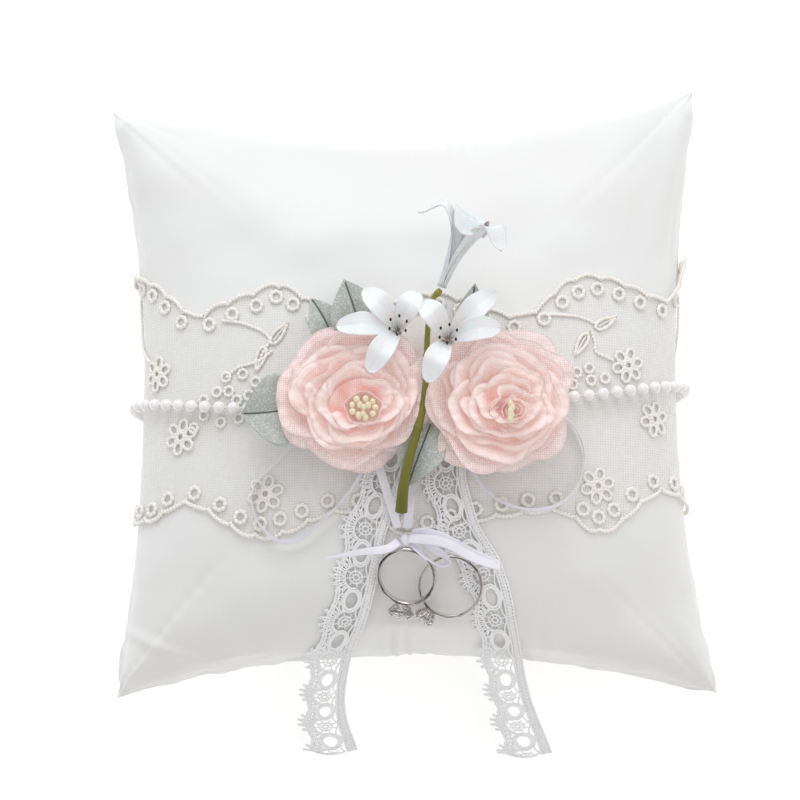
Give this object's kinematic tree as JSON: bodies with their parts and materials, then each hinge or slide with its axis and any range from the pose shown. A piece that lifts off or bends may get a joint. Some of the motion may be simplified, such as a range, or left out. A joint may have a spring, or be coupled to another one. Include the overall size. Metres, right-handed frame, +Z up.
{
  "type": "ring bearer pillow",
  "caption": "Square satin ring cushion with a net band, pearls, lace tails, cloth roses, lilies and leaves, ribbon loops, and wedding rings tied on by a bow.",
  "frame": {"origin": "middle of the resting face, on the underside of the net band that goes round the pillow", "axes": "+Z up from the table, out of the decorated front; +Y towards the pillow's upper edge, away from the lace tails; +X to the right as the front is seen with the lace tails hanging down"},
  "size_m": [0.2, 0.2227, 0.106],
  "materials": {
    "fibre_filling": "loose polyester fibre",
    "ivory_satin": "ivory satin, fine weave",
    "embroidered_net": "champagne embroidery on sheer net",
    "pearl": "imitation pearl",
    "cluny_lace": "white cotton cluny lace",
    "satin_ribbon": "white satin ribbon",
    "felt": "white felt",
    "pink_organza": "blush pink organza",
    "cream_stamen": "cream paste pips on thread",
    "black_stamen": "black-tipped filaments",
    "grey_green_organza": "grey-green glitter organza",
    "stem_tape": "olive green stem",
    "white_satin": "stiffened white satin petals",
    "polished_silver": "polished silver",
    "crystal": "clear cut stone"
  },
  "bodies": {
    "root": {"back_panel": "ivory_satin", "filling": "fibre_filling", "flower_felt": "felt", "front_panel": "ivory_satin", "lace_tail_left": "cluny_lace", "lace_tail_right": "cluny_lace", "leaf_bottom": "grey_green_organza", "leaf_far_left": "grey_green_organza", "leaf_left": "grey_green_organza", "leaf_upper_left": "grey_green_organza", "leaf_upper_right": "grey_green_organza", "lily_left_petals": "white_satin", "lily_left_stamens": "black_stamen", "lily_right_petals": "white_satin", "lily_right_stamens": "black_stamen", "lily_stem": "stem_tape", "lily_top_petals": "white_satin", "lily_top_stamens": "black_stamen", "net_band": "embroidered_net", "pearl_string": "pearl", "ribbon_drop_left": "satin_ribbon", "ribbon_drop_right": "satin_ribbon", "ribbon_loop_left": "satin_ribbon", "ribbon_loop_right": "satin_ribbon", "rose_left_bud": "pink_organza", "rose_left_inner_petal_1": "pink_organza", "rose_left_inner_petal_2": "pink_organza", "rose_left_middle_petal_1": "pink_organza", "rose_left_middle_petal_2": "pink_organza", "rose_left_middle_petal_3": "pink_organza", "rose_left_outer_petal_1": "pink_organza", "rose_left_outer_petal_2": "pink_organza", "rose_left_outer_petal_3": "pink_organza", "rose_left_stamens": "cream_stamen", "rose_right_bud": "pink_organza", "rose_right_inner_petal_1": "pink_organza", "rose_right_inner_petal_2": "pink_organza", "rose_right_middle_petal_1": "pink_organza", "rose_right_middle_petal_2": "pink_organza", "rose_right_middle_petal_3": "pink_organza", "rose_right_outer_petal_1": "pink_organza", "rose_right_outer_petal_2": "pink_organza", "rose_right_outer_petal_3": "pink_organza", "rose_right_stamens": "cream_stamen"},
    "ring_2": {"ring_2_band": "polished_silver", "ring_2_setting": "polished_silver", "ring_2_stone": "crystal"},
    "ring_1": {"bow_knot": "satin_ribbon", "bow_loop_large": "satin_ribbon", "bow_loop_small": "satin_ribbon", "bow_tail": "satin_ribbon", "ring_1_band": "polished_silver", "ring_1_setting": "polished_silver", "ring_1_stone": "crystal"},
    "tail_left": {"lace_tail_left_end": "cluny_lace"},
    "tail_right": {"lace_tail_right_end": "cluny_lace"}
  },
  "joints": [
    {"name": "ring_2_lift", "type": "hinge", "parent": "root", "child": "ring_2", "pos_m": [-0.0015, -0.0543, 0.06624], "axis": [-1, 0, 0], "range_deg": [0, 60]},
    {"name": "ring_1_lift", "type": "hinge", "parent": "ring_2", "child": "ring_1", "pos_m": [-0.0015, -0.0543, 0.06624], "axis": [-1, 0, 0], "range_deg": [0, 10]},
    {"name": "tail_left_lift", "type": "hinge", "parent": "root", "child": "tail_left", "pos_m": [-0.02242, -0.08004, 0.04875], "axis": [-1, 0, 0], "range_deg": [0, 90]},
    {"name": "tail_right_lift", "type": "hinge", "parent": "root", "child": "tail_right", "pos_m": [0.0274, -0.08001, 0.04878], "axis": [-1, 0, 0], "range_deg": [0, 90]}
  ]
}
